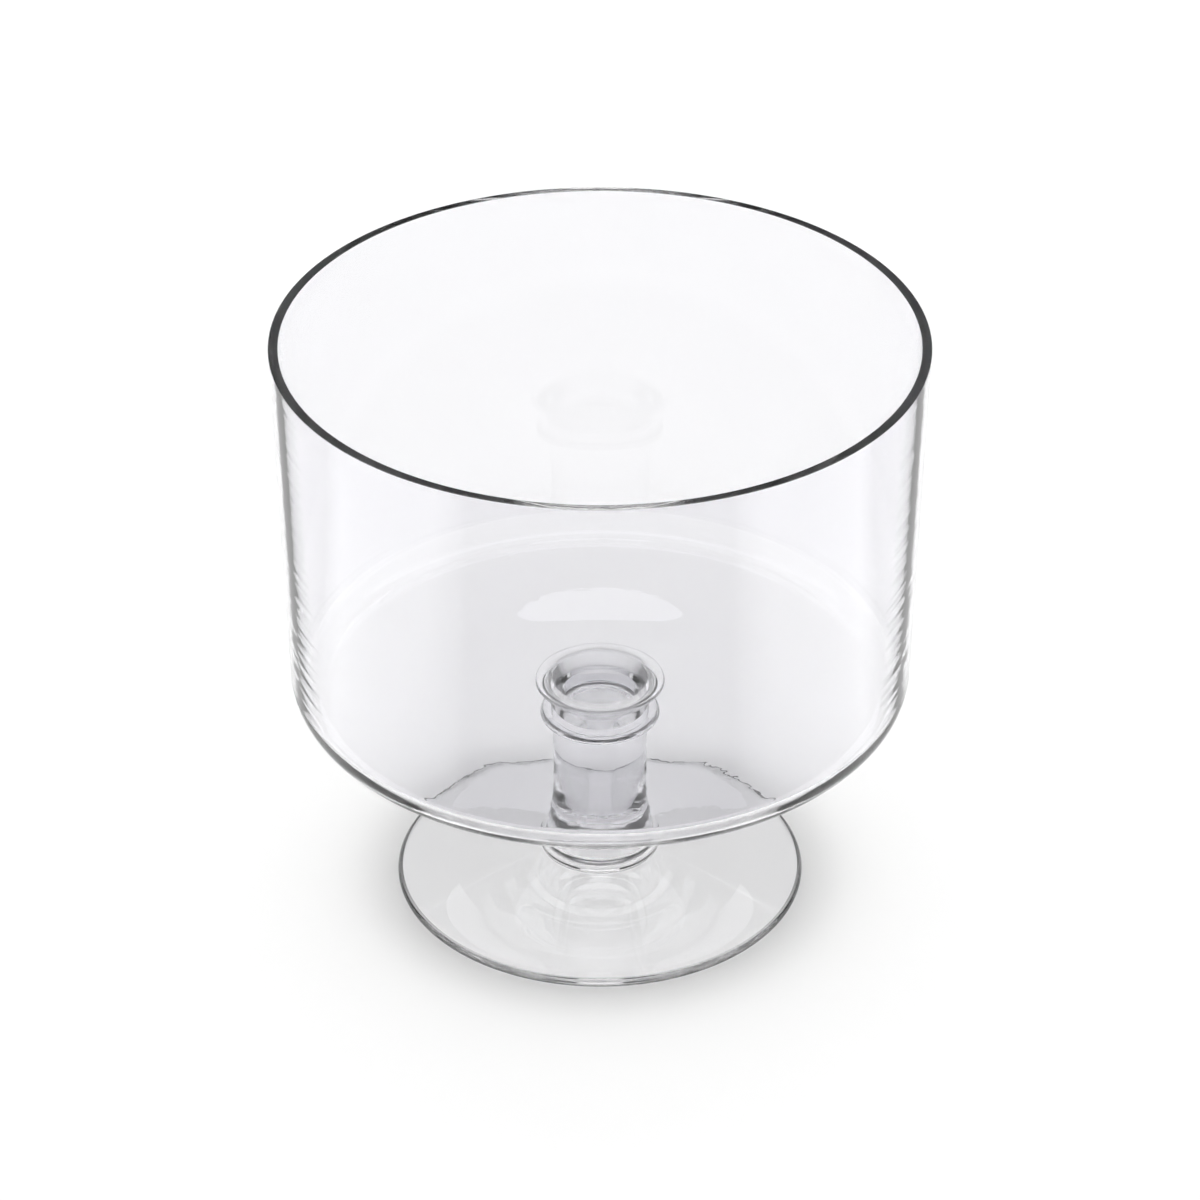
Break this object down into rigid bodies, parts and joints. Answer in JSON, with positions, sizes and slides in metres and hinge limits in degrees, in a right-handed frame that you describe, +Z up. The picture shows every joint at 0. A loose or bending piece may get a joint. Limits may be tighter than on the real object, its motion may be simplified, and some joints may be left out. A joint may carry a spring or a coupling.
{
  "type": "trifle bowl",
  "caption": "Footed clear glass trifle bowl: a deep straight-sided bowl on a short solid stem with a flared collar, rings and a round foot.",
  "frame": {"origin": "centre of the foot's flat underside", "axes": "+Z up along the bowl's axis of revolution; X and Y in the surface it stands on, -Y towards the viewer"},
  "size_m": [0.2, 0.2, 0.1952],
  "materials": {
    "clear_glass": "polished"
  },
  "bodies": {
    "root": {"bowl": "clear_glass", "collar": "clear_glass", "neck_ring": "clear_glass", "stem": "clear_glass", "base_ring": "clear_glass", "foot": "clear_glass"}
  },
  "joints": []
}
